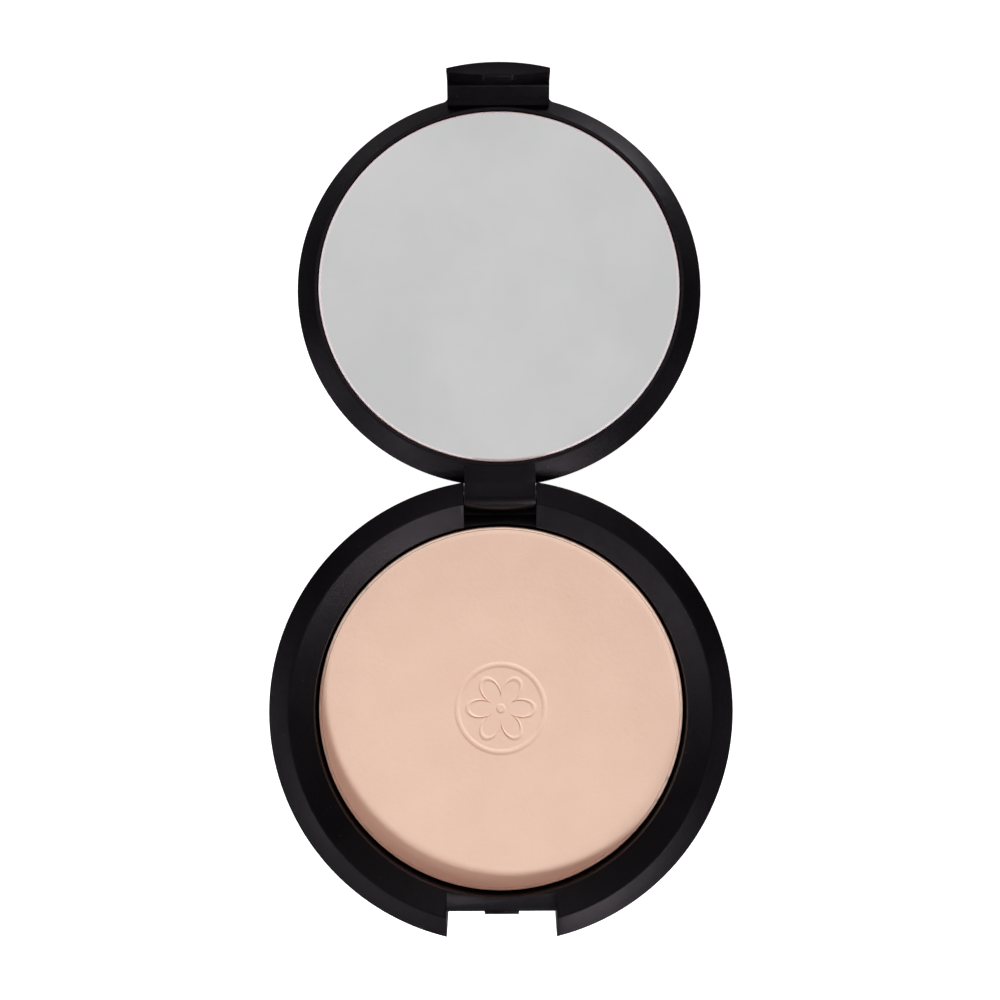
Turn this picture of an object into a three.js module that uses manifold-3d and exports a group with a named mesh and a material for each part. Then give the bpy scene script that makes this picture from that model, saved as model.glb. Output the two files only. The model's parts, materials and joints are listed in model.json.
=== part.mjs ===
// A round powder compact, lying open.
// Millimetres, +Z up. The origin is the centre of the base's underside, and +Y points to the hinge.
// The lid is drawn where it sits when closed, then one group turns it about the hinge to its open place.

import * as THREE from "three";
import { mergeVertices } from "three/addons/utils/BufferGeometryUtils.js";
import Module from "manifold-3d";

const wasm = await Module();
wasm.setup();

// ---- driving dimensions -------------------------------------------------------------------------

const segments = 72;            // round each turned shape
const gap = 0.3;                // between pieces that move past each other
const film = 0.05;              // between faces that are bonded or rest on each other

const baseRadius = 37.1;        // widest edge of the base
const baseHeight = 13.6;        // crest of the base's ring
const crestRadius = 33.7;
const footRadius = 31.8;        // flat underside
const wellRadius = 29.95;       // opening that the pan drops into
const wellEdgeHeight = 11.65;   // lower, inner edge of the ring's bevel
const wallTopHeight = 11.9;     // where the side wall is widest
const shellHeight = 6.4;        // seam between the dish and the ring
const wall = 1.4;
const overcut = 2;              // how far a cutting solid runs past the surface it cuts

const panRadius = 29.5;
const panTop = 9.75;
const panHeight = 4.25;
const panSheet = 0.45;
const panBend = 0.8;            // radius of the pan's lower corner
const powderTop = 9.6;

const hingeY = 34.8;
const hingeZ = 12;
const pinRadius = 0.75;
const pinHalfLength = 8.1;
const boreRadius = pinRadius + gap;
const slotHalfWidth = 5.9;
const slotShelfY = 31.4;        // a shelf behind the well's edge, then the floor under the knuckle
const slotShelfHeight = 9.8;
const slotFloorY = 32.3;
const slotFloorHeight = 8.2;
const knuckleHalfWidth = 5.6;
const knuckleProud = 0.35;      // the hinge barrel stands this far out of the side wall
const knuckleUnderside = 9.85;
const knuckleRound = 2.1;
const openAngle = 187;          // degrees from closed to lying open

const lidRadius = 33.3;
const lidEdge = baseHeight + 0.12;      // underside of the lid's rim when closed
const frameTop = 14.3;                  // seam between the lid's frame and its cover
const coverRise = 3.65;                 // dome above its own rim
const coverRim = 0.12;                  // upright land of the cover above the seam
const coverSheet = 1.15;
const landHeight = 11.95;               // narrow land round the mirror, lowest face of the lid
const landRadius = 30.25;
const recessRadius = 29.75;
const mirrorRadius = 29.6;
const mirrorFace = 12.1;
const mirrorThick = 1.3;
const tapeThick = 0.15;

const notchHalfWidth = 8.8;     // finger notch at the front of the base
const notchWallY = -32.6;
const notchSide = notchHalfWidth + 1.2;     // solid plastic this far out on each side of the notch
const notchLedgeY = -31.6;
const notchLedgeHeight = 11.1;
const catchHalfWidth = 2.8;
const catchY = -33.1;
const catchTop = 10.45;
const catchBottom = 9.5;
const tabHalfWidth = 8.5;
const tabInnerY = -33.4;
const tabBottom = 7.1;
const tabEase = 0.45;
const tabRootY = -30.4;         // where the tab joins the lid's rim
const tabRoofY = -31.8;
const tabRoofHeight = 11.55;
const toothHalfWidth = 2.1;
const toothY = -33.17;
const toothTop = 9.1;

// ---- materials ----------------------------------------------------------------------------------

const plastic = new THREE.MeshStandardMaterial({ color: 0x1b1a1c, roughness: 0.48, metalness: 0 });
const powder = new THREE.MeshStandardMaterial({ color: 0xe0ba9f, roughness: 0.95, metalness: 0 });
const aluminium = new THREE.MeshStandardMaterial({ color: 0xc4b8ad, roughness: 0.4, metalness: 1 });
const mirror = new THREE.MeshStandardMaterial({ color: 0xdfe1e3, roughness: 0.03, metalness: 1 });
const steel = new THREE.MeshStandardMaterial({ color: 0x9c9ea1, roughness: 0.3, metalness: 1 });
const paper = new THREE.MeshStandardMaterial({ color: 0xe9e7e2, roughness: 0.7, metalness: 0 });
const tape = new THREE.MeshStandardMaterial({ color: 0xd9d6cf, roughness: 0.8, metalness: 0 });

// ---- helpers ------------------------------------------------------------------------------------

function signedVolume(position, index) {
  const a = new THREE.Vector3();
  const b = new THREE.Vector3();
  const c = new THREE.Vector3();
  let sum = 0;
  for (let i = 0; i < index.length; i += 3) {
    a.fromBufferAttribute(position, index[i]);
    b.fromBufferAttribute(position, index[i + 1]);
    c.fromBufferAttribute(position, index[i + 2]);
    sum += a.dot(b.cross(c)) / 6;
  }
  return sum;
}

// A closed three.js geometry as a solid whose faces point out.
function solid(geometry) {
  geometry.deleteAttribute("normal");
  geometry.deleteAttribute("uv");
  const merged = mergeVertices(geometry, 1e-4);
  const position = merged.getAttribute("position");
  const corners = [];
  const index = merged.getIndex().array;
  for (let i = 0; i < index.length; i += 3) {
    const [a, b, c] = [index[i], index[i + 1], index[i + 2]];
    if (a !== b && b !== c && c !== a) corners.push(a, b, c);
  }
  if (signedVolume(position, corners) < 0) corners.reverse();
  return new wasm.Manifold(new wasm.Mesh({
    numProp: 3,
    vertProperties: new Float32Array(position.array),
    triVerts: new Uint32Array(corners),
  }));
}

// The solid turned from an outline of [radius, height] points.
// An outline that doesn't start and end on the axis is closed on itself.
function turned(outline, around = segments) {
  const points = outline.map(([radius, height]) => new THREE.Vector2(radius, height));
  const onAxis = outline[0][0] === 0 && outline[outline.length - 1][0] === 0;
  if (!onAxis) points.push(points[0].clone());
  return solid(new THREE.LatheGeometry(points, around).rotateX(Math.PI / 2));
}

// The solid swept along X, from -halfWidth to halfWidth, by an outline of [y, z] points.
function swept(outline, halfWidth) {
  const shape = new THREE.Shape(outline.map(([y, z]) => new THREE.Vector2(y, z)));
  const options = { depth: 2 * halfWidth, bevelEnabled: false };
  const geometry = new THREE.ExtrudeGeometry(shape, options);
  geometry.translate(0, 0, -halfWidth);
  const axes = new THREE.Matrix4().makeBasis(
    new THREE.Vector3(0, 1, 0), new THREE.Vector3(0, 0, 1), new THREE.Vector3(1, 0, 0));
  return solid(geometry.applyMatrix4(axes));
}

function block(low, high) {
  const size = high.map((value, axis) => value - low[axis]);
  const centre = high.map((value, axis) => (value + low[axis]) / 2);
  return solid(new THREE.BoxGeometry(...size).translate(...centre));
}

// A rod along X on the hinge axis.
function hingeRod(radius, halfLength, around = 24) {
  const rod = new THREE.CylinderGeometry(radius, radius, 2 * halfLength, around);
  return solid(rod.rotateZ(Math.PI / 2).translate(0, hingeY, hingeZ));
}

// Points on an arc from one angle to another, in degrees.
function arc(centre, radius, from, to, steps) {
  const points = [];
  for (let i = 0; i <= steps; i += 1) {
    const angle = THREE.MathUtils.degToRad(from + ((to - from) * i) / steps);
    points.push([centre[0] + radius * Math.cos(angle), centre[1] + radius * Math.sin(angle)]);
  }
  return points;
}

function meshOf(name, shape, material) {
  const made = shape.getMesh();
  const geometry = new THREE.BufferGeometry();
  geometry.setAttribute("position", new THREE.BufferAttribute(made.vertProperties, 3));
  geometry.setIndex(new THREE.BufferAttribute(made.triVerts, 1));
  geometry.computeVertexNormals();
  const mesh = new THREE.Mesh(geometry, material);
  mesh.name = name;
  return mesh;
}

// ---- outer form of the base ---------------------------------------------------------------------

// The side wall swells from the foot to the widest edge.
const wallCurve = new THREE.QuadraticBezierCurve(
  new THREE.Vector2(footRadius, 0.4),
  new THREE.Vector2(35.6, 4.7),
  new THREE.Vector2(baseRadius, wallTopHeight));

function wallPoints(fromHeight, toHeight, steps) {
  const points = [];
  for (const point of wallCurve.getPoints(60)) {
    if (point.y > fromHeight + 0.05 && point.y < toHeight - 0.05) points.push([point.x, point.y]);
  }
  const stride = Math.max(1, Math.ceil(points.length / steps));
  return points.filter((_, i) => i % stride === 0);
}

function wallRadiusAt(height) {
  const points = wallCurve.getPoints(400);
  return points.find((point) => point.y >= height).x;
}

const seamRadius = wallRadiusAt(shellHeight);
const bevelOuter = [baseRadius - 0.12, wallTopHeight + 0.45];
const crestOuter = [crestRadius + 0.3, baseHeight - 0.06];
const crestInner = [crestRadius - 0.3, baseHeight - 0.08];
const bevelInner = [wellRadius + 0.15, wellEdgeHeight];

// Everything inside the base's outer surface, from a height up past the lid's rim.
// proud moves the surface outwards, and ease is the chamfer round its lower edge.
function outerForm(bottom, top, proud, ease) {
  const side = wallPoints(bottom + ease, wallTopHeight, 6).map(([radius, z]) => [radius + proud, z]);
  const foot = wallRadiusAt(bottom + ease) + proud;
  return turned([
    [0, bottom], [foot - ease, bottom], [foot, bottom + ease], ...side,
    [baseRadius + proud, wallTopHeight], [bevelOuter[0] + proud, bevelOuter[1]],
    [lidRadius, lidEdge + 0.15], [lidRadius, top], [0, top],
  ]);
}

// The ring's section without its hollow underside.
function fullRing() {
  return turned([
    [seamRadius, shellHeight], ...wallPoints(shellHeight, wallTopHeight, 4),
    [baseRadius, wallTopHeight], bevelOuter, crestOuter, [crestRadius, baseHeight], crestInner,
    bevelInner, [wellRadius, wellEdgeHeight - 0.2], [wellRadius, shellHeight],
  ]);
}

// ---- base ---------------------------------------------------------------------------------------

const seatTop = panTop - panHeight - tapeThick - 2 * film;
const seatThick = 1;
const seatHole = 7;

function notchCut() {
  const inner = -wellRadius + 1;
  const outer = -baseRadius - overcut;
  const top = baseHeight + overcut;
  return swept([
    [inner, top], [inner, wellEdgeHeight + 0.2], [-wellRadius, wellEdgeHeight - 0.15],
    [notchLedgeY, notchLedgeHeight], [notchWallY, notchLedgeHeight - 0.8],
    [notchWallY, -1], [outer, -1], [outer, top],
  ], notchHalfWidth);
}

function slotCut() {
  const inner = wellRadius - 1;
  const outer = baseRadius + overcut;
  const top = baseHeight + overcut;
  return swept([
    [inner, top], [inner, wellEdgeHeight + 0.05], [wellRadius, wellEdgeHeight - 0.35],
    [slotShelfY, slotShelfHeight + 0.55], [slotShelfY, slotShelfHeight],
    [slotFloorY, slotShelfHeight], [slotFloorY, slotFloorHeight],
    [outer, slotFloorHeight], [outer, top],
  ], slotHalfWidth);
}

function catchBump() {
  const root = notchWallY + 0.5;
  const slope = 0.25;
  return swept([
    [root, catchTop + 0.1], [notchWallY, catchTop], [catchY, catchTop - slope],
    [catchY, catchBottom + slope], [notchWallY, catchBottom], [root, catchBottom],
  ], catchHalfWidth);
}

function baseRing() {
  const hollowTop = 10.1;
  const hollowed = turned([
    [seamRadius, shellHeight], ...wallPoints(shellHeight, wallTopHeight, 4),
    [baseRadius, wallTopHeight], bevelOuter, crestOuter, [crestRadius, baseHeight], crestInner,
    bevelInner, [wellRadius, wellEdgeHeight - 0.2], [wellRadius, seatTop], [seatHole, seatTop],
    [seatHole, seatTop - seatThick], [wellRadius + wall, seatTop - seatThick],
    [wellRadius + wall, hollowTop], [seamRadius - wall, hollowTop], [seamRadius - wall, shellHeight],
  ]);
  const cheek = 4;
  const hingeSide = slotHalfWidth + cheek;
  const inside = wellRadius - overcut;
  const notchBlock = block([-notchSide, -baseRadius, shellHeight], [notchSide, -inside, baseHeight]);
  const hingeBlock = block([-hingeSide, inside, shellHeight], [hingeSide, baseRadius, baseHeight]);
  return hollowed
    .add(fullRing().intersect(notchBlock.add(hingeBlock)))
    .subtract(notchCut())
    .subtract(slotCut())
    .add(catchBump())
    .subtract(hingeRod(boreRadius, pinHalfLength + gap));
}

const shellFloor = 1.4;
const shellBend = 5;            // height where the dish's wall starts to thicken
const backingBottom = 0.5;
const labelRadius = 21;
const labelThick = 0.2;
const labelRecess = labelThick + film;

function baseShell() {
  const top = shellHeight - film;
  const dish = turned([
    [0, labelRecess], [labelRadius + gap, labelRecess], [labelRadius + gap, 0],
    [footRadius - 0.4, 0], [footRadius, 0.4], ...wallPoints(0.4, top, 5),
    [seamRadius, top], [seamRadius - wall, top], [seamRadius - wall - gap, shellBend],
    [footRadius - 0.2, shellFloor + 0.6], [footRadius - 1.2, shellFloor], [0, shellFloor],
  ]);
  const backing = block([-notchSide, -baseRadius, backingBottom], [notchSide, notchWallY + 0.75, top]);
  const form = outerForm(backingBottom, baseHeight, 0, 0);
  let shell = dish.add(form.intersect(backing)).subtract(notchCut());
  const ribInner = 9;
  const ribOuter = 28;
  const ribHalf = 0.6;
  const ribTop = seatTop - seatThick - film;
  const ribCount = 3;
  const ribStep = 180 / ribCount;
  for (let i = 0; i < ribCount; i += 1) {
    const rib = block([-ribOuter, -ribHalf, shellFloor - 0.3], [ribOuter, ribHalf, ribTop]);
    const core = block([-ribInner, -ribInner, shellFloor - 0.5], [ribInner, ribInner, ribTop + 1]);
    shell = shell.add(rib.subtract(core).rotate([0, 0, ribStep * (i + 0.5)]));
  }
  return shell;
}

function bottomLabel() {
  return turned([[0, 0], [labelRadius, 0], [labelRadius, labelThick], [0, labelThick]]);
}

// ---- powder -------------------------------------------------------------------------------------

const panBottom = panTop - panHeight;

function panAdhesive() {
  const inner = 12;
  const outer = 25;
  const low = seatTop + film;
  const high = low + tapeThick;
  return turned([[inner, low], [outer, low], [outer, high], [inner, high]], 48);
}

function powderPan() {
  const inner = panRadius - panSheet;
  return turned([
    [0, panBottom], [panRadius - panBend, panBottom], [panRadius, panBottom + panBend],
    [panRadius, panTop - 0.1], [panRadius - 0.1, panTop], [inner + 0.05, panTop],
    [inner, panTop - 0.05], [inner, panBottom + panBend + 0.1],
    [inner - panBend + 0.1, panBottom + panSheet], [0, panBottom + panSheet],
  ]);
}

function powderCake() {
  const outer = panRadius - panSheet - film;
  const flat = 28.6;
  const low = panBottom + panSheet + film;
  const lip = powderTop + 0.08;
  return turned([
    [0, low], [outer - panBend, low], [outer, low + panBend], [outer, lip], [flat + 0.15, lip],
    [flat, powderTop], [0, powderTop],
  ]);
}

function hingePin() {
  return hingeRod(pinRadius, pinHalfLength);
}

// ---- lid, drawn closed --------------------------------------------------------------------------

function domeHeight(radius) {
  return frameTop + coverRim + film + coverRise * (1 - (radius / lidRadius) ** 3);
}

function domePoints(outerRadius, drop, steps) {
  const points = [];
  for (let i = 1; i <= steps; i += 1) {
    const radius = outerRadius * (1 - (i / steps) ** 1.35);
    points.push([i === steps ? 0 : radius, domeHeight(radius) - drop]);
  }
  return points;
}

function lidCover() {
  const low = frameTop + film;
  const inner = lidRadius - 2.6;
  return turned([
    ...domePoints(inner, coverSheet, 4).reverse(), [inner, low],
    [lidRadius, low], [lidRadius, low + coverRim], ...domePoints(lidRadius, 0, 8),
  ]);
}

function tabBlock() {
  const outer = -baseRadius - 1;
  return swept([
    [outer, tabBottom], [tabInnerY, tabBottom], [tabInnerY, tabRoofHeight - 0.85],
    [tabRoofY, tabRoofHeight], [tabRootY, tabRoofHeight + 0.5], [tabRootY, frameTop],
    [outer, frameTop],
  ], tabHalfWidth);
}

function tabTooth() {
  const root = tabInnerY - 0.4;
  const rootTop = toothTop + 0.25;
  return swept([
    [root, tabBottom], [toothY - 0.15, tabBottom], [toothY, tabBottom + 0.3],
    [toothY, toothTop], [tabInnerY, rootTop], [root, rootTop],
  ], toothHalfWidth);
}

function hingeArm() {
  const inner = landRadius - 0.3;
  const outer = baseRadius + knuckleProud;
  const centre = [outer - knuckleRound, knuckleUnderside + knuckleRound];
  return swept([
    [inner, frameTop], [inner, landHeight + 0.05], [landRadius, landHeight],
    [lidRadius - 0.1, knuckleUnderside], ...arc(centre, knuckleRound, -90, 0, 6),
    [outer, frameTop],
  ], knuckleHalfWidth);
}

function lidFrame() {
  const floor = mirrorFace + mirrorThick + tapeThick + 2 * film;
  const ring = turned([
    [0, floor], [recessRadius, floor],
    [recessRadius, landHeight], [landRadius, landHeight], [landRadius + 0.12, landHeight + 0.07],
    [lidRadius - 0.15, lidEdge], [lidRadius, lidEdge + 0.15], [lidRadius, frameTop], [0, frameTop],
  ]);
  const tabForm = outerForm(tabBottom, frameTop, 0, tabEase);
  const hingeForm = outerForm(tabBottom, frameTop, knuckleProud, 0);
  return ring
    .add(tabBlock().add(tabTooth()).intersect(tabForm))
    .add(hingeArm().intersect(hingeForm))
    .subtract(hingeRod(boreRadius, knuckleHalfWidth + 1));
}

function mirrorGlass() {
  const bevel = 0.6;
  const bevelDepth = 0.2;
  const back = mirrorFace + mirrorThick;
  return turned([
    [0, mirrorFace], [mirrorRadius - bevel, mirrorFace], [mirrorRadius, mirrorFace + bevelDepth],
    [mirrorRadius, back], [0, back],
  ]);
}

function mirrorTape() {
  const radius = 27.5;
  const low = mirrorFace + mirrorThick + film;
  return turned([[0, low], [radius, low], [radius, low + tapeThick], [0, low + tapeThick]], 48);
}

// ---- the whole object ---------------------------------------------------------------------------

const compact = new THREE.Group();
const base = new THREE.Group();
base.add(
  meshOf("base_shell", baseShell(), plastic),
  meshOf("base_ring", baseRing(), plastic),
  meshOf("bottom_label", bottomLabel(), paper),
  meshOf("pan_adhesive", panAdhesive(), tape),
  meshOf("powder_pan", powderPan(), aluminium),
  meshOf("powder_cake", powderCake(), powder),
  meshOf("hinge_pin", hingePin(), steel),
);

// The lid's pieces turn together about the hinge.
const lid = new THREE.Group();
const closed = new THREE.Group();
closed.position.set(0, -hingeY, -hingeZ);
closed.add(
  meshOf("lid_frame", lidFrame(), plastic),
  meshOf("lid_cover", lidCover(), plastic),
  meshOf("mirror_tape", mirrorTape(), tape),
  meshOf("mirror_glass", mirrorGlass(), mirror),
);
lid.add(closed);
lid.position.set(0, hingeY, hingeZ);
lid.rotation.x = -THREE.MathUtils.degToRad(openAngle);

compact.add(base, lid);

export default compact;
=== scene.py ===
import json
import math

import bmesh
import bpy
from mathutils import Matrix, Vector


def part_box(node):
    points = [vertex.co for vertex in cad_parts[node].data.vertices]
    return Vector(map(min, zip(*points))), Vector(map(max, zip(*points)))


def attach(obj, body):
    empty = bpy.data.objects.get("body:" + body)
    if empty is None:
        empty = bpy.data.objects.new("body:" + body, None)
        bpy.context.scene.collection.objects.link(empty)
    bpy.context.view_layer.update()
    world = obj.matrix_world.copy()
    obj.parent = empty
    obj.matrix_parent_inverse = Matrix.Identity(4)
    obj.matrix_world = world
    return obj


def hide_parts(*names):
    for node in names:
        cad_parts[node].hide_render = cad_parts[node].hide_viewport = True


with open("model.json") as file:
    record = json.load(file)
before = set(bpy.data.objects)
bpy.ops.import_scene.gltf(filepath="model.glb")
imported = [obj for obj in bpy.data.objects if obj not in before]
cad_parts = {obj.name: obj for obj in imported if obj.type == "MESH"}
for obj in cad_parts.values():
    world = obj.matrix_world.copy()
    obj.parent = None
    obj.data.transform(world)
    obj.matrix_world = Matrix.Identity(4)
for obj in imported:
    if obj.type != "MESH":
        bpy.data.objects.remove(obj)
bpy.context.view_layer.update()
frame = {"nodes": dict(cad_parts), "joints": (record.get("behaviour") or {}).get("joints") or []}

# A round powder compact lying open: a dished base with a pan of pressed powder, and a mirrored lid.
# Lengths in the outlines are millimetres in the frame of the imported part, and MM turns them into metres.
# The lid is drawn closed, as it is made, and then turned about the hinge to where it rests.

MM = 0.001

# ---- sizes taken from the frame -----------------------------------------------------------------


def low_corner(name):
    """A CAD node's lowest corner, in millimetres."""
    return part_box(name)[0] / MM


def high_corner(name):
    """A CAD node's highest corner, in millimetres."""
    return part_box(name)[1] / MM


BASE_RADIUS = high_corner("base_ring").x
BASE_HEIGHT = high_corner("base_ring").z
SEAM_HEIGHT = high_corner("base_shell").z
PAN_RADIUS = high_corner("powder_pan").x
PAN_TOP = high_corner("powder_pan").z
PAN_BOTTOM = low_corner("powder_pan").z
LABEL_RADIUS = high_corner("bottom_label").x
LABEL_THICK = high_corner("bottom_label").z
LID_RADIUS = high_corner("lid_cover").x

hinge = next(j for j in frame["joints"] if j["name"] == "lid_hinge")
HINGE = Vector(hinge["pos_m"]) / MM
OPEN_ANGLE = math.radians(hinge["range_deg"][1])

# ---- sizes of the fine shapes, as on the CAD part -----------------------------------------------

FOOT_RADIUS = 31.8
FOOT_EASE = 0.4         # height where the side wall starts
WALL_TOP = 11.9         # where the side wall is widest
CREST_RADIUS = 33.7
WELL_RADIUS = 29.95
WELL_EDGE = 11.65       # height of the ring's inner edge
WALL = 1.4
POWDER_TOP = 9.6

LID_EDGE = BASE_HEIGHT + 0.12
FRAME_TOP = 14.3        # seam between the lid's frame and its cover
COVER_RISE = 3.65
COVER_SHEET = 1.15
LAND_HEIGHT = 11.95     # narrow land round the mirror
LAND_RADIUS = 30.25
RECESS_RADIUS = 29.75
MIRROR_RADIUS = 29.6
MIRROR_FACE = 12.1
MIRROR_THICK = 1.3

NOTCH_HALF = 8.8        # finger notch at the front of the base
NOTCH_WALL = -32.6
NOTCH_LEDGE = -31.6
LEDGE_HEIGHT = 11.1
CATCH_HALF = 2.8
CATCH_TIP = -33.1
CATCH_TOP = 10.45
CATCH_BOTTOM = 9.5
TAB_HALF = 8.5
TAB_INNER = -33.4
TAB_BOTTOM = 7.1
TAB_ROOF = 11.55
TAB_BOW = 62            # radius of the tab's inner face, seen from above
TOOTH_HALF = 2.1
TOOTH_TIP = -33.17
TOOTH_TOP = 9.1

SLOT_HALF = 5.8         # hinge slot at the back of the base
SLOT_SHELF = 31.4
SHELF_HEIGHT = 9.8
SLOT_FLOOR = 32.3
FLOOR_HEIGHT = 8.2
KNUCKLE_HALF = 5.66
KNUCKLE_PROUD = 0.35    # the barrel stands this far out of the side wall
KNUCKLE_BOTTOM = 9.85
BORE_RADIUS = 1.05

MOTIF_RING = 7.1        # radius of the ring pressed into the powder
MOTIF_DEPTH = 0.12

AROUND = 288            # segments round a turned shape
ON_AXIS = 1e-6          # a radius below this is a point on the axis
OVERCUT = 2             # how far a cutting shape runs past the surface it cuts


# ---- outlines -----------------------------------------------------------------------------------


def rounded(corners, steps=6):
    """An outline from (a, b, radius) corners, each rounded to its radius by an arc."""
    points = []
    count = len(corners)
    for i, (a, b, radius) in enumerate(corners):
        here = Vector((a, b))
        if radius == 0:
            points.append(here)
            continue
        before = Vector(corners[i - 1][:2]) - here
        after = Vector(corners[(i + 1) % count][:2]) - here
        half = before.angle(after) / 2
        reach = radius / math.tan(half)
        start = here + before.normalized() * reach
        end = here + after.normalized() * reach
        middle = (before.normalized() + after.normalized()).normalized()
        centre = here + middle * (radius / math.sin(half))
        sweep = (start - centre).angle_signed(end - centre)
        for k in range(steps + 1):
            turn = Matrix.Rotation(-sweep * k / steps, 2)
            points.append(centre + turn @ (start - centre))
    return [(p.x, p.y) for p in points]


def side_wall(low, high, steps):
    """The swelling side of the base, between two heights, from the bottom up."""
    foot = Vector((FOOT_RADIUS, FOOT_EASE))
    knee = Vector((35.6, 4.7))
    top = Vector((BASE_RADIUS, WALL_TOP))

    def at(t):
        return foot * (1 - t) ** 2 + knee * 2 * t * (1 - t) + top * t ** 2

    def share(height):
        lower, upper = 0.0, 1.0
        for _ in range(40):
            middle = (lower + upper) / 2
            if at(middle).y < height:
                lower = middle
            else:
                upper = middle
        return lower

    first, last = share(low), share(high)
    return [tuple(at(first + (last - first) * k / steps)) for k in range(steps + 1)]


# ---- mesh building ------------------------------------------------------------------------------


def make_object(name, mesh_data):
    """An object in the scene from a bmesh, which is used up."""
    mesh = bpy.data.meshes.new(name)
    mesh_data.to_mesh(mesh)
    mesh_data.free()
    piece = bpy.data.objects.new(name, mesh)
    bpy.context.scene.collection.objects.link(piece)
    return piece


def turned(name, outline, around=AROUND):
    """A closed solid turned about +Z from (radius, height) points, in millimetres."""
    data = bmesh.new()
    rings = []
    for radius, height in outline:
        if radius < ON_AXIS:
            rings.append([data.verts.new((0, 0, height * MM))])
            continue
        ring = []
        for k in range(around):
            angle = 2 * math.pi * k / around
            x, y = radius * MM * math.cos(angle), radius * MM * math.sin(angle)
            ring.append(data.verts.new((x, y, height * MM)))
        rings.append(ring)
    closed = outline[0][0] > ON_AXIS or outline[-1][0] > ON_AXIS
    pairs = list(zip(rings, rings[1:]))
    if closed:
        pairs.append((rings[-1], rings[0]))
    for lower, upper in pairs:
        for k in range(around):
            corners = [lower[k % len(lower)], lower[(k + 1) % len(lower)],
                       upper[(k + 1) % len(upper)], upper[k % len(upper)]]
            unique = list(dict.fromkeys(corners))
            if len(unique) > 2:
                data.faces.new(unique)
    bmesh.ops.recalc_face_normals(data, faces=data.faces)
    return make_object(name, data)


def stacked(name, sections):
    """A closed solid through a row of sections, each a list of (x, y, z) points in millimetres."""
    data = bmesh.new()
    rings = [
        [data.verts.new([value * MM for value in point]) for point in section]
        for section in sections
    ]
    for first, second in zip(rings, rings[1:]):
        for k in range(len(first)):
            after = (k + 1) % len(first)
            data.faces.new((first[k], first[after], second[after], second[k]))
    data.faces.new(list(reversed(rings[0])))
    data.faces.new(rings[-1])
    bmesh.ops.recalc_face_normals(data, faces=data.faces)
    return make_object(name, data)


def prism(name, outline, half_width, slices=1):
    """A closed solid swept along X from an outline of (y, z) points."""
    across = [-half_width + 2 * half_width * k / slices for k in range(slices + 1)]
    return stacked(name, [[(x, y, z) for y, z in outline] for x in across])


def slab(name, outline, low, high):
    """A closed solid raised along Z from an outline of (x, y) points, between two heights."""
    return stacked(name, [[(x, y, z) for x, y in outline] for z in (low, high)])


def combine(piece, other, operation):
    """Joins, cuts or keeps the overlap of a piece with another, which is used up."""
    modifier = piece.modifiers.new("combine", "BOOLEAN")
    modifier.operation = operation
    modifier.solver = "EXACT"
    modifier.object = other
    bake_modifiers(piece)
    bpy.data.objects.remove(other)


def bake_modifiers(piece):
    """Makes a piece's modifiers part of its mesh."""
    evaluated = piece.evaluated_get(bpy.context.evaluated_depsgraph_get())
    mesh = bpy.data.meshes.new_from_object(evaluated)
    old = piece.data
    piece.modifiers.clear()
    piece.data = mesh
    bpy.data.meshes.remove(old)


def ease_edges(piece, width, where, angle=35):
    """Rounds a piece's sharp edges whose middle passes the test where(x, y, z)."""
    speck = 0.004 * MM
    data = bmesh.new()
    data.from_mesh(piece.data)
    bmesh.ops.remove_doubles(data, verts=data.verts, dist=speck)
    bmesh.ops.dissolve_degenerate(data, edges=data.edges, dist=speck)
    limit = math.radians(angle)
    sharp = []
    for edge in data.edges:
        if len(edge.link_faces) == 2 and edge.calc_face_angle(0) > limit:
            middle = (edge.verts[0].co + edge.verts[1].co) / (2 * MM)
            if where(*middle):
                sharp.append(edge)
    bmesh.ops.bevel(data, geom=sharp, offset=width * MM, offset_type="OFFSET", segments=3,
                    profile=0.5, affect="EDGES", clamp_overlap=True)
    data.to_mesh(piece.data)
    data.free()


def smooth(piece, angle=38):
    """Smooth shading that keeps edges sharper than the angle."""
    for face in piece.data.polygons:
        face.use_smooth = True
    piece.data.set_sharp_from_angle(angle=math.radians(angle))


def open_lid(piece):
    """Turns a lid piece, drawn closed, about the hinge to its place at rest."""
    pivot = HINGE * MM
    turn = Matrix.Rotation(-OPEN_ANGLE, 4, "X")
    piece.data.transform(Matrix.Translation(pivot) @ turn @ Matrix.Translation(-pivot))


# ---- materials ----------------------------------------------------------------------------------


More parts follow.
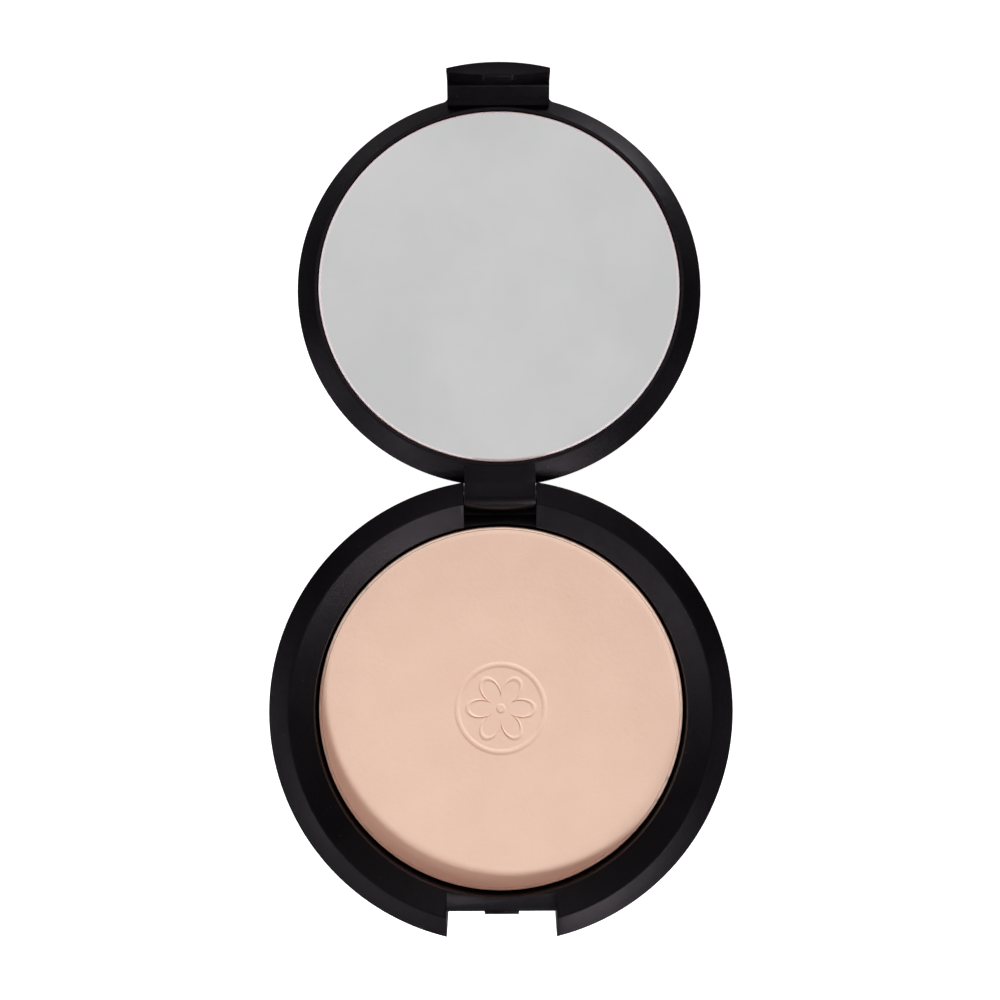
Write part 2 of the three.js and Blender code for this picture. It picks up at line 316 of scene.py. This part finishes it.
class Nodes:
    """A material's nodes, with the object's own coordinates in millimetres to hand."""

    def __init__(self, name):
        self.material = bpy.data.materials.new(name)
        self.material.use_nodes = True
        self.tree = self.material.node_tree
        self.shader = self.tree.nodes["Principled BSDF"]
        coordinates = self.tree.nodes.new("ShaderNodeTexCoord")
        scale = self.tree.nodes.new("ShaderNodeVectorMath")
        scale.operation = "SCALE"
        scale.inputs["Scale"].default_value = 1 / MM
        self.link(coordinates.outputs["Object"], scale.inputs[0])
        self.place = scale.outputs[0]

    def link(self, source, target):
        self.tree.links.new(source, target)

    def set(self, **values):
        """Sets the shader's inputs, with _ for each space in their names."""
        for name, value in values.items():
            self.shader.inputs[name.replace("_", " ")].default_value = value

    def noise(self, scale, detail=3.0, roughness=0.55, stretch=None):
        """Cloudy noise, scale features to the millimetre, stretched along the axes if asked."""
        node = self.tree.nodes.new("ShaderNodeTexNoise")
        node.inputs["Scale"].default_value = scale
        node.inputs["Detail"].default_value = detail
        node.inputs["Roughness"].default_value = roughness
        place = self.place
        if stretch is not None:
            stretched = self.tree.nodes.new("ShaderNodeVectorMath")
            stretched.operation = "MULTIPLY"
            stretched.inputs[1].default_value = stretch
            self.link(place, stretched.inputs[0])
            place = stretched.outputs[0]
        self.link(place, node.inputs["Vector"])
        return node.outputs["Fac"]

    def specks(self, scale, size):
        """1 inside small round specks scattered at random, 0 elsewhere."""
        cells = self.tree.nodes.new("ShaderNodeTexVoronoi")
        cells.inputs["Scale"].default_value = scale
        self.link(self.place, cells.inputs["Vector"])
        return self.ramp(cells.outputs["Distance"], (size * 0.5, 1.0), (size, 0.0))

    def ramp(self, source, low, high):
        """Maps source from low[0]..high[0] to low[1]..high[1], held at both ends."""
        node = self.tree.nodes.new("ShaderNodeMapRange")
        node.inputs["From Min"].default_value = low[0]
        node.inputs["From Max"].default_value = high[0]
        node.inputs["To Min"].default_value = low[1]
        node.inputs["To Max"].default_value = high[1]
        self.link(source, node.inputs["Value"])
        return node.outputs["Result"]

    def math(self, operation, first, second):
        """One arithmetic step, each side a socket or a number."""
        node = self.tree.nodes.new("ShaderNodeMath")
        node.operation = operation
        for socket, value in zip(node.inputs, (first, second)):
            if isinstance(value, (int, float)):
                socket.default_value = value
            else:
                self.link(value, socket)
        return node.outputs[0]

    def mix(self, share, first, second):
        """A colour between first, where share is 0, and second, where it is 1."""
        node = self.tree.nodes.new("ShaderNodeMix")
        node.data_type = "RGBA"
        self.link(share, node.inputs["Factor"])
        for key, value in (("A", first), ("B", second)):
            socket = next(s for s in node.inputs if s.name == key and s.type == "RGBA")
            if isinstance(value, tuple):
                socket.default_value = (*value, 1)
            else:
                self.link(value, socket)
        return next(s for s in node.outputs if s.type == "RGBA")

    def bump(self, height, distance, under=None):
        """A bump of the given height in millimetres, over another one if given."""
        node = self.tree.nodes.new("ShaderNodeBump")
        node.inputs["Strength"].default_value = 1
        node.inputs["Distance"].default_value = distance * MM
        self.link(height, node.inputs["Height"])
        if under is not None:
            self.link(under, node.inputs["Normal"])
        return node.outputs["Normal"]


def black_plastic():
    """Satin black moulding: a fine spark-eroded grain, cloudy handling marks, hairlines and dust specks."""
    m = Nodes("black_plastic")
    cloud = m.noise(0.09, detail=4)
    grain = m.noise(4.2, detail=2, roughness=0.65)
    rare = m.ramp(m.noise(0.35, detail=1), (0.56, 0.0), (0.62, 1.0))
    dust = m.math("MULTIPLY", m.specks(0.85, 0.055), rare)
    hairline = m.ramp(m.noise(1.0, detail=2, stretch=(0.35, 5.0, 2.0)), (0.72, 0.0), (0.76, 1.0))
    hairline = m.math("MULTIPLY", hairline, m.ramp(m.noise(0.2, detail=1), (0.5, 0.0), (0.6, 1.0)))
    deep, worn = (0.0012, 0.0009, 0.0013), (0.0022, 0.0017, 0.0023)
    colour = m.mix(m.ramp(cloud, (0.3, 0.0), (0.7, 1.0)), deep, worn)
    colour = m.mix(m.math("MULTIPLY", hairline, 0.25), colour, (0.06, 0.05, 0.055))
    m.link(m.mix(m.math("MULTIPLY", dust, 0.3), colour, (0.5, 0.45, 0.46)), m.shader.inputs["Base Color"])
    rough = m.ramp(cloud, (0.3, 0.33), (0.7, 0.42))
    m.link(m.math("ADD", rough, m.ramp(grain, (0.3, -0.05), (0.7, 0.05))), m.shader.inputs["Roughness"])
    m.link(m.bump(grain, 0.03), m.shader.inputs["Normal"])
    m.set(IOR=1.5, Specular_IOR_Level=0.36, Specular_Tint=(1, 0.87, 1, 1))
    return m.material


def pressed_powder():
    """Matte pressed powder: a soft mottle under a fine, slightly darker grain."""
    m = Nodes("pressed_powder")
    mottle = m.noise(0.12, detail=3)
    grain = m.noise(7.0, detail=2, roughness=0.7)
    base = m.mix(m.ramp(mottle, (0.3, 0.0), (0.7, 1.0)), (0.90, 0.61, 0.475), (0.93, 0.65, 0.51))
    colour = m.mix(m.ramp(grain, (0.35, 0.25), (0.65, 0.0)), base, (0.82, 0.53, 0.40))
    m.link(colour, m.shader.inputs["Base Color"])
    fine = m.bump(grain, 0.02)
    m.link(m.bump(m.noise(1.1, detail=3), 0.03, under=fine), m.shader.inputs["Normal"])
    m.set(Roughness=0.95, IOR=1.35, Sheen_Weight=0.15, Sheen_Roughness=0.5)
    return m.material


def pan_metal():
    """Drawn aluminium, its rolled lip dusted with powder."""
    m = Nodes("pan_metal")
    dust = m.ramp(m.noise(0.9, detail=4, roughness=0.65), (0.3, 0.35), (0.5, 1.0))
    m.link(m.mix(dust, (0.75, 0.66, 0.60), (0.90, 0.62, 0.49)), m.shader.inputs["Base Color"])
    m.link(m.ramp(dust, (0.0, 0.9), (1.0, 0.0)), m.shader.inputs["Metallic"])
    m.link(m.ramp(dust, (0.0, 0.38), (1.0, 0.9)), m.shader.inputs["Roughness"])
    m.link(m.bump(m.noise(6.0), 0.015), m.shader.inputs["Normal"])
    return m.material


def silvered_glass():
    """The mirror: bright, with the faintest haze of handling, and a ground edge that catches the light."""
    m = Nodes("silvered_glass")
    centre = mirror_centre()
    haze = m.noise(0.05, detail=4, roughness=0.55)
    offset = m.tree.nodes.new("ShaderNodeVectorMath")
    offset.operation = "DISTANCE"
    offset.inputs[1].default_value = centre
    m.link(m.place, offset.inputs[0])
    edge = m.ramp(offset.outputs["Value"], (MIRROR_RADIUS - 0.5, 0.0), (MIRROR_RADIUS - 0.3, 1.0))
    m.link(m.ramp(edge, (0.0, 1.0), (1.0, 0.0)), m.shader.inputs["Metallic"])
    m.link(m.math("ADD", m.ramp(haze, (0.35, 0.01), (0.7, 0.04)), m.math("MULTIPLY", edge, 0.3)),
           m.shader.inputs["Roughness"])
    silver = m.mix(m.ramp(haze, (0.35, 0.0), (0.65, 1.0)), (0.84, 0.84, 0.84), (0.78, 0.78, 0.785))
    m.link(m.mix(edge, silver, (0.98, 0.88, 0.9)), m.shader.inputs["Base Color"])
    return m.material


def pin_steel():
    """Drawn steel wire, with fine lines along it."""
    m = Nodes("pin_steel")
    lines = m.noise(3.0, detail=2, stretch=(0.15, 6, 6))
    m.link(m.ramp(lines, (0.3, 0.25), (0.7, 0.42)), m.shader.inputs["Roughness"])
    m.link(m.bump(lines, 0.01), m.shader.inputs["Normal"])
    m.set(Base_Color=(0.55, 0.56, 0.58, 1), Metallic=1.0)
    return m.material


def adhesive_tape():
    """Off-white fibrous tape and dried glue."""
    m = Nodes("adhesive_tape")
    fibres = m.noise(1.6, detail=4, roughness=0.7)
    m.link(m.mix(m.ramp(fibres, (0.3, 0.0), (0.7, 1.0)), (0.7, 0.68, 0.62), (0.78, 0.77, 0.72)),
           m.shader.inputs["Base Color"])
    m.link(m.bump(fibres, 0.03), m.shader.inputs["Normal"])
    m.set(Roughness=0.7)
    return m.material


def label_paper():
    """Plain uncoated paper."""
    m = Nodes("label_paper")
    fibres = m.noise(2.5, detail=5, roughness=0.7)
    m.link(m.mix(m.ramp(fibres, (0.3, 0.0), (0.7, 1.0)), (0.78, 0.77, 0.74), (0.84, 0.83, 0.8)),
           m.shader.inputs["Base Color"])
    m.link(m.bump(fibres, 0.01), m.shader.inputs["Normal"])
    m.set(Roughness=0.6)
    return m.material


def mirror_centre():
    """The middle of the mirror's face with the lid open, in millimetres."""
    turn = Matrix.Rotation(-OPEN_ANGLE, 3, "X")
    return HINGE + turn @ (Vector((0, 0, MIRROR_FACE)) - HINGE)


# One material for each slot of the record.
MATERIALS = {
    "black_plastic": black_plastic(),
    "pressed_powder": pressed_powder(),
    "pan_metal": pan_metal(),
    "mirror": silvered_glass(),
    "pin_steel": pin_steel(),
    "adhesive": adhesive_tape(),
    "label_paper": label_paper(),
}


def finish_piece(piece, node, body, slot):
    """Gives a fine piece its finish and makes it stand for a CAD node on its body."""
    piece.data.materials.clear()
    piece.data.materials.append(MATERIALS[slot])
    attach(piece, body)
    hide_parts(node)


# ---- base ---------------------------------------------------------------------------------------


def notch_cutter():
    """What is cut away for the finger notch, down through the floor."""
    inner, outer = -WELL_RADIUS + 1, -BASE_RADIUS - OVERCUT
    low, high = -1, BASE_HEIGHT + OVERCUT
    outline = [
        (inner, high), (inner, WELL_EDGE + 0.3), (-WELL_RADIUS, WELL_EDGE - 0.05),
        (NOTCH_LEDGE, LEDGE_HEIGHT), (NOTCH_WALL, LEDGE_HEIGHT - 0.8),
        (NOTCH_WALL, low), (outer, low), (outer, high),
    ]
    cutter = prism("notch_cutter", outline, NOTCH_HALF)
    ease_edges(cutter, 0.5, lambda x, y, z: abs(y - NOTCH_WALL) < 0.1 and abs(x) > NOTCH_HALF - 0.1)
    return cutter


def slot_cutter():
    """What is cut away for the hinge arm: a slope, a shelf and a floor under the knuckle."""
    inner, outer = WELL_RADIUS - 1, BASE_RADIUS + OVERCUT
    high = BASE_HEIGHT + OVERCUT
    outline = [
        (inner, high), (inner, WELL_EDGE + 0.05), (WELL_RADIUS, WELL_EDGE - 0.35),
        (SLOT_SHELF, SHELF_HEIGHT + 0.55), (SLOT_SHELF, SHELF_HEIGHT), (SLOT_FLOOR, SHELF_HEIGHT),
        (SLOT_FLOOR, FLOOR_HEIGHT), (outer, FLOOR_HEIGHT), (outer, high),
    ]
    return prism("slot_cutter", outline, SLOT_HALF)


def catch():
    """The bump on the notch's wall that the lid's tooth snaps under."""
    root = NOTCH_WALL + 0.5
    outline = rounded([
        (root, CATCH_TOP, 0), (CATCH_TIP, CATCH_TOP, 0.2), (CATCH_TIP, CATCH_BOTTOM, 0.15),
        (root, CATCH_BOTTOM, 0),
    ], steps=4)
    bump = prism("catch", outline, CATCH_HALF)
    ease_edges(bump, 0.25, lambda x, y, z: abs(x) > CATCH_HALF - 0.1)
    return bump


def cut_edge(x, y, z):
    """True near the notch or the hinge slot, above the seam."""
    near_notch = y < NOTCH_WALL + 3.5 and abs(x) < NOTCH_HALF + 0.3
    near_slot = y > WELL_RADIUS - 0.3 and abs(x) < SLOT_HALF + 0.3
    return (near_notch or near_slot) and z > 8


def base_ring():
    """The upper ring: side wall, rounded crest, bevel, well, and the seat that the pan stands on."""
    seat, seat_thick, hole = PAN_BOTTOM - 0.25, 1, 7
    seam = SEAM_HEIGHT + 0.05
    under = WELL_RADIUS + WALL
    wall = side_wall(seam, WALL_TOP, 14)
    top = rounded([
        (*wall[-1], 0), (BASE_RADIUS - 0.02, WALL_TOP + 0.42, 0.3),
        (CREST_RADIUS, BASE_HEIGHT + 0.06, 0.55), (WELL_RADIUS, WELL_EDGE + 0.03, 0.22),
        (WELL_RADIUS, seat, 0), (hole, seat, 0), (hole, seat - seat_thick, 0),
        (under, seat - seat_thick, 0), (under, seam, 0), (wall[0][0], seam, 0),
    ], steps=8)
    piece = turned("base_ring_fine", wall[:-1] + top[:-1])
    combine(piece, notch_cutter(), "DIFFERENCE")
    combine(piece, slot_cutter(), "DIFFERENCE")
    ease_edges(piece, 0.16, cut_edge, angle=32)
    combine(piece, catch(), "UNION")
    smooth(piece)
    return piece


def base_shell():
    """The outer dish, with a shallow recess for the label and a wall behind the notch."""
    recess = LABEL_THICK + 0.05
    recess_radius = LABEL_RADIUS + 0.3
    floor = 1.4
    wall = side_wall(FOOT_EASE, SEAM_HEIGHT, 14)
    seam = wall[-1][0]
    outline = [
        (0, recess), (recess_radius, recess), (recess_radius, 0.1), (recess_radius + 0.1, 0),
        (FOOT_RADIUS - 0.5, 0), (FOOT_RADIUS - 0.25, 0.06), (FOOT_RADIUS - 0.1, 0.2), *wall,
        (seam - WALL, SEAM_HEIGHT), (seam - WALL - 0.3, 5), (FOOT_RADIUS - 0.2, floor + 0.6),
        (FOOT_RADIUS - 1.2, floor), (0, floor),
    ]
    piece = turned("base_shell_fine", outline)
    low, front, back = 0.6, -33.5, NOTCH_WALL + 0.75
    section = [(front, low), (back, low), (back, SEAM_HEIGHT), (front, SEAM_HEIGHT)]
    combine(piece, prism("notch_backing", section, NOTCH_HALF + 0.5), "UNION")
    combine(piece, notch_cutter(), "DIFFERENCE")
    smooth(piece)
    return piece


# ---- powder -------------------------------------------------------------------------------------


def powder_pan():
    """The drawn pan, with a rounded lip and lower corner."""
    sheet, bend = 0.45, 0.8
    inner, floor = PAN_RADIUS - sheet, PAN_BOTTOM + sheet
    outline = rounded([
        (0, PAN_BOTTOM, 0), (PAN_RADIUS, PAN_BOTTOM, bend), (PAN_RADIUS, PAN_TOP, 0.2),
        (inner, PAN_TOP, 0.2), (inner, floor, bend - 0.3), (0, floor, 0),
    ])
    piece = turned("powder_pan_fine", outline)
    smooth(piece)
    return piece


def motif_depth(x, y):
    """How deep the plain ring and six-petal rosette are pressed, from 0 to 1."""
    radius = math.hypot(x, y)
    angle = math.atan2(y, x)

    def line(distance, half, soft):
        return 1 - min(1, max(0, (abs(distance) - half) / soft))

    ring = line(radius - MOTIF_RING, 0.15, 0.35)
    petal = 2.2 + 3.2 * abs(math.cos(3 * angle)) ** 0.8
    rosette = line(radius - petal, 0.12, 0.33) if radius > 1.0 else 0
    bead = line(radius, 0.55, 0.25)
    return max(ring, rosette, bead)


def powder_cake():
    """The pressed powder: flat, creeping up a little at the pan's wall, with the motif in its middle."""
    outer, bottom, bend = PAN_RADIUS - 0.5, PAN_BOTTOM + 0.5, 0.8
    motif_radii = [0.1 * k for k in range(1, 84)]
    plain_radii = [8.4 + 0.6 * k for k in range(1, 33)]
    creep = [(28.2, 0), (28.5, 0.01), (28.75, 0.05), (outer, 0.09)]
    outline = [(radius, POWDER_TOP) for radius in [0] + motif_radii + plain_radii]
    outline += [(radius, POWDER_TOP + rise) for radius, rise in creep]
    outline += [(outer, bottom + bend), (outer - bend, bottom), (0, bottom)]
    piece = turned("powder_cake_fine", outline, around=384)
    for vertex in piece.data.vertices:
        x, y, z = vertex.co / MM
        if z > POWDER_TOP - 0.001 and math.hypot(x, y) < 8:
            vertex.co.z -= MOTIF_DEPTH * motif_depth(x, y) * MM
    smooth(piece, 60)
    return piece


# ---- lid, drawn closed --------------------------------------------------------------------------


def outer_form(bottom, proud, ease):
    """Everything inside the base's outer surface from a height up, a little proud of it."""
    side = side_wall(bottom, WALL_TOP, 10)
    side = [(radius + proud, height) for radius, height in side]
    outline = rounded([
        (0, bottom, 0), (*side[0], ease), *[(r, h, 0) for r, h in side[3:]],
        (BASE_RADIUS - 0.12 + proud, WALL_TOP + 0.45, 0.25), (LID_RADIUS, LID_EDGE + 0.15, 0),
        (LID_RADIUS, FRAME_TOP, 0), (0, FRAME_TOP, 0),
    ])
    return turned("outer_form", outline)


def tooth():
    """The lip inside the tab that snaps under the catch."""
    root, low = TAB_INNER - 0.4, TAB_BOTTOM + 0.05
    outline = rounded([
        (root, low, 0), (TOOTH_TIP, low, 0.12), (TOOTH_TIP, TOOTH_TOP, 0.1),
        (TAB_INNER, TOOTH_TOP + 0.25, 0), (root, TOOTH_TOP + 0.25, 0),
    ])
    piece = prism("tooth", outline, TOOTH_HALF)
    ease_edges(piece, 0.08, lambda x, y, z: abs(x) > TOOTH_HALF - 0.05)
    return piece


def tab():
    """The opening tab: its inner face bows inwards, and its outer face follows the base."""
    outer = -BASE_RADIUS - 1
    root = -30.6
    outline = rounded([
        (outer, TAB_BOTTOM, 0), (TAB_INNER, TAB_BOTTOM, 0.18), (TAB_INNER, TAB_ROOF - 0.85, 0.3),
        (-31.8, TAB_ROOF, 0.3), (root, TAB_ROOF + 0.4, 0), (root, FRAME_TOP, 0), (outer, FRAME_TOP, 0),
    ])
    piece = prism("tab", outline, TAB_HALF, slices=4)
    height = 2 * FRAME_TOP
    bowed = turned("bowed", [(0, 0), (TAB_BOW, 0), (TAB_BOW, height), (0, height)], around=720)
    bowed.data.transform(Matrix.Translation(Vector((0, TAB_INNER - TAB_BOW, 0)) * MM))
    inner, top = -31, 10.3
    beyond = prism("beyond", [(outer, 0), (inner, 0), (inner, top), (outer, top)], TAB_HALF + 1)
    combine(beyond, bowed, "DIFFERENCE")
    combine(piece, beyond, "DIFFERENCE")
    combine(piece, outer_form(TAB_BOTTOM, 0, 0.45), "INTERSECT")
    combine(piece, tooth(), "UNION")
    ease_edges(piece, 0.22, lambda x, y, z: abs(x) > TAB_HALF - 0.1, angle=32)
    return piece


def tab_root(side):
    """The hollow fillet where the tab leaves the round of the lid, on one side."""
    radius, steps = 1.1, 8
    inner = TAB_HALF - 1
    across = TAB_HALF + radius
    centre = Vector((across, -math.sqrt((LID_RADIUS + radius) ** 2 - across ** 2)))
    start, end = math.pi, math.atan2(-centre.y, -centre.x)
    angles = [start + (end - start) * k / steps for k in range(steps + 1)]
    arc = [centre + radius * Vector((math.cos(angle), math.sin(angle))) for angle in angles]
    back = arc[-1].y + 1
    outline = [(inner, centre.y), *[tuple(point) for point in arc], (arc[-1].x, back), (inner, back)]
    outline = [(side * x, y) for x, y in outline]
    return slab("tab_root", outline, LID_EDGE + 0.1, FRAME_TOP - 0.02)


def hinge_arm():
    """The arm from the lid's land to the round knuckle that turns on the pin."""
    inner, top = LAND_RADIUS - 0.3, LAND_HEIGHT + 0.02
    outer = BASE_RADIUS + KNUCKLE_PROUD
    outline = rounded([
        (inner, FRAME_TOP, 0), (inner, top, 0), (LAND_RADIUS, top, 0.1),
        (LID_RADIUS - 0.1, KNUCKLE_BOTTOM, 0.25), (outer, KNUCKLE_BOTTOM, 2.1), (outer, FRAME_TOP, 0),
    ], steps=10)
    arm = prism("hinge_arm", outline, KNUCKLE_HALF, slices=4)
    combine(arm, outer_form(7, KNUCKLE_PROUD, 0), "INTERSECT")
    ease_edges(arm, 0.45, lambda x, y, z: abs(x) > KNUCKLE_HALF - 0.1 and y > 32.5, angle=32)
    return arm


def bore():
    """What is cut away for the hinge pin."""
    steps = 32
    angles = [2 * math.pi * k / steps for k in range(steps)]
    outline = [(HINGE.y + BORE_RADIUS * math.cos(a), HINGE.z + BORE_RADIUS * math.sin(a)) for a in angles]
    return prism("bore", outline, KNUCKLE_HALF + 1)


def lid_frame():
    """The lid's frame: a sloping ring round the mirror's recess, with the tab and the hinge arm."""
    floor = MIRROR_FACE + MIRROR_THICK + 0.25
    outline = rounded([
        (0, floor, 0), (RECESS_RADIUS, floor, 0), (RECESS_RADIUS, LAND_HEIGHT, 0.08),
        (LAND_RADIUS, LAND_HEIGHT, 0.18), (LID_RADIUS, LID_EDGE + 0.03, 0.18), (LID_RADIUS, FRAME_TOP, 0),
        (0, FRAME_TOP, 0),
    ])
    piece = turned("lid_frame_fine", outline)
    for addition in (tab(), tab_root(-1), tab_root(1), hinge_arm()):
        combine(piece, addition, "UNION")
    combine(piece, bore(), "DIFFERENCE")
    open_lid(piece)
    smooth(piece)
    return piece


def dome(radius):
    """Height of the cover's outside at a radius."""
    return FRAME_TOP + 0.17 + COVER_RISE * (1 - (radius / LID_RADIUS) ** 3)


def dome_profile(edge, drop, steps):
    """Points along the dome from its edge to its crown, dropped by a depth."""
    radii = [edge * math.cos(math.pi / 2 * k / steps) for k in range(steps + 1)]
    return [(radius, dome(radius) - drop) for radius in radii]


def lid_cover():
    """The domed cover behind the frame, an even shell."""
    low = FRAME_TOP + 0.05
    inner = LID_RADIUS - 2.6
    outside = dome_profile(LID_RADIUS, 0, 48)
    inside = dome_profile(inner, COVER_SHEET, 16)
    piece = turned("lid_cover_fine", [*reversed(inside), (inner, low), (LID_RADIUS, low), *outside])
    open_lid(piece)
    smooth(piece)
    return piece


def mirror_glass():
    """The mirror, its edge ground round."""
    back = MIRROR_FACE + MIRROR_THICK
    ground = [(0.3, 0), (0.12, 0.03), (0.03, 0.1), (0, 0.2)]
    outline = [(0, MIRROR_FACE)]
    outline += [(MIRROR_RADIUS - inset, MIRROR_FACE + depth) for inset, depth in ground]
    outline += [(MIRROR_RADIUS, back), (0, back)]
    piece = turned("mirror_glass_fine", outline)
    open_lid(piece)
    smooth(piece, 5)
    return piece


def bottom_label():
    """The plain paper label under the base."""
    outline = rounded([
        (0, 0, 0), (LABEL_RADIUS, 0, 0.05), (LABEL_RADIUS, LABEL_THICK, 0.05), (0, LABEL_THICK, 0),
    ], steps=3)
    piece = turned("bottom_label_fine", outline)
    smooth(piece)
    return piece


finish_piece(base_ring(), "base_ring", "base", "black_plastic")
finish_piece(base_shell(), "base_shell", "base", "black_plastic")
finish_piece(bottom_label(), "bottom_label", "base", "label_paper")
finish_piece(powder_pan(), "powder_pan", "base", "pan_metal")
finish_piece(powder_cake(), "powder_cake", "base", "pressed_powder")
finish_piece(lid_frame(), "lid_frame", "lid", "black_plastic")
finish_piece(lid_cover(), "lid_cover", "lid", "black_plastic")
finish_piece(mirror_glass(), "mirror_glass", "lid", "mirror")

# The hidden pieces stay as the CAD has them, and only get their finish.
for node, slot in (("hinge_pin", "pin_steel"), ("pan_adhesive", "adhesive"), ("mirror_tape", "adhesive")):
    cad = frame["nodes"][node]
    cad.data.materials.clear()
    cad.data.materials.append(MATERIALS[slot])

# ---- studio -------------------------------------------------------------------------------------

WHITE = (1, 1, 1)
WARM = (1, 0.52, 0.424)         # the fill, which also colours the shadow on the powder
COOL = (0.766, 0.942, 1)        # the key, which makes up for the warm fill
NEAR = 0.9                      # metres from the hinge to a light
MIDDLE = 1.1
FAR = 2.2


def floor():
    """A plain white floor that glows just enough to show no shadow, just clear of the base."""
    half = 3.0
    gap = 0.2 * MM
    data = bmesh.new()
    corners = ((-half, -half), (half, -half), (half, half), (-half, half))
    data.faces.new([data.verts.new((x, y, 0)) for x, y in corners])
    plane = make_object("floor", data)
    m = Nodes("white_paper")
    m.set(Base_Color=(0.8, 0.8, 0.8, 1), Roughness=0.9, Emission_Color=(1, 1, 1, 1), Emission_Strength=0.98)
    plane.data.materials.append(m.material)
    plane.location.z = -gap
    plane.visible_glossy = False


def soft_light(name, azimuth, elevation, width, height, power, colour=WHITE, distance=MIDDLE):
    """A soft panel aimed at the hinge, placed by its direction from there."""
    a, e = math.radians(azimuth), math.radians(elevation)
    direction = Vector((math.cos(a) * math.cos(e), math.sin(a) * math.cos(e), math.sin(e)))
    light = bpy.data.lights.new(name, "AREA")
    light.shape = "RECTANGLE"
    light.size, light.size_y = width, height
    light.energy = power
    light.color = colour
    lamp = bpy.data.objects.new(name, light)
    lamp.location = HINGE * MM + direction * distance
    lamp.rotation_mode = "QUATERNION"
    lamp.rotation_quaternion = (-direction).to_track_quat("-Z", "Y")
    bpy.context.scene.collection.objects.link(lamp)
    return lamp


def sky():
    """Nearly dark above the horizon, and a soft grey below it in place of the floor's reflection."""
    world = bpy.data.worlds.new("studio")
    world.use_nodes = True
    tree = world.node_tree
    direction = tree.nodes.new("ShaderNodeTexCoord")
    split = tree.nodes.new("ShaderNodeSeparateXYZ")
    fade = tree.nodes.new("ShaderNodeMapRange")
    for socket, value in (("From Min", -0.15), ("From Max", 0.1), ("To Min", 0.28), ("To Max", 0.04)):
        fade.inputs[socket].default_value = value
    tree.links.new(direction.outputs["Generated"], split.inputs[0])
    tree.links.new(split.outputs["Z"], fade.inputs["Value"])
    tree.links.new(fade.outputs["Result"], tree.nodes["Background"].inputs["Strength"])
    tree.nodes["Background"].inputs["Color"].default_value = (1, 1, 1, 1)
    bpy.context.scene.world = world


SHEENS = (              # name, azimuth, elevation, width, height, power
    ("sheen_front", 247, 31, 0.3, 0.14, 0.4),
    ("sheen_front_left", 222, 40, 0.3, 0.25, 0.9),
    ("sheen_front_right", 286, 31, 0.2, 0.25, 1.2),
    ("sheen_right", 297, 34, 0.2, 0.3, 0.5),
    ("sheen_right_high", 302, 44, 0.25, 0.25, 0.75),
    ("sheen_far_right", 62, 12, 0.35, 0.2, 2.1),
    ("sheen_far_left", 118, 12, 0.35, 0.2, 0.4),
    ("sheen_left", 190, 22, 0.3, 0.2, 0.5),
    ("sheen_side", 345, 22, 0.3, 0.2, 0.2),
)


def studio():
    """A low key and a warm fill that light the powder, and small panels that the black case mirrors."""
    sky()
    floor()
    key = soft_light("key", 244.6, 28.9, 0.52, 0.28, 47.6, COOL, FAR)
    fill = soft_light("fill", 112, 68, 0.8, 0.7, 1.86, WARM, NEAR)
    for light in (key, fill):
        light.visible_glossy = False
    soft_light("overhead", 90, 65, 0.55, 0.48, 0.557, distance=NEAR)
    for panel in SHEENS:
        soft_light(*panel)


def camera():
    """Straight down over the middle of the open compact."""
    height = 188 + POWDER_TOP
    across = 33.8
    data = bpy.data.cameras.new("camera")
    data.sensor_width = 36
    data.lens = 41.75
    data.clip_start, data.clip_end = 0.01, 20
    eye = bpy.data.objects.new("camera", data)
    eye.location = Vector((0, across, height)) * MM
    eye.rotation_euler = (0, 0, math.radians(-0.25))
    bpy.context.scene.collection.objects.link(eye)
    bpy.context.scene.camera = eye


studio()
camera()
bpy.context.scene.view_settings.view_transform = "Standard"
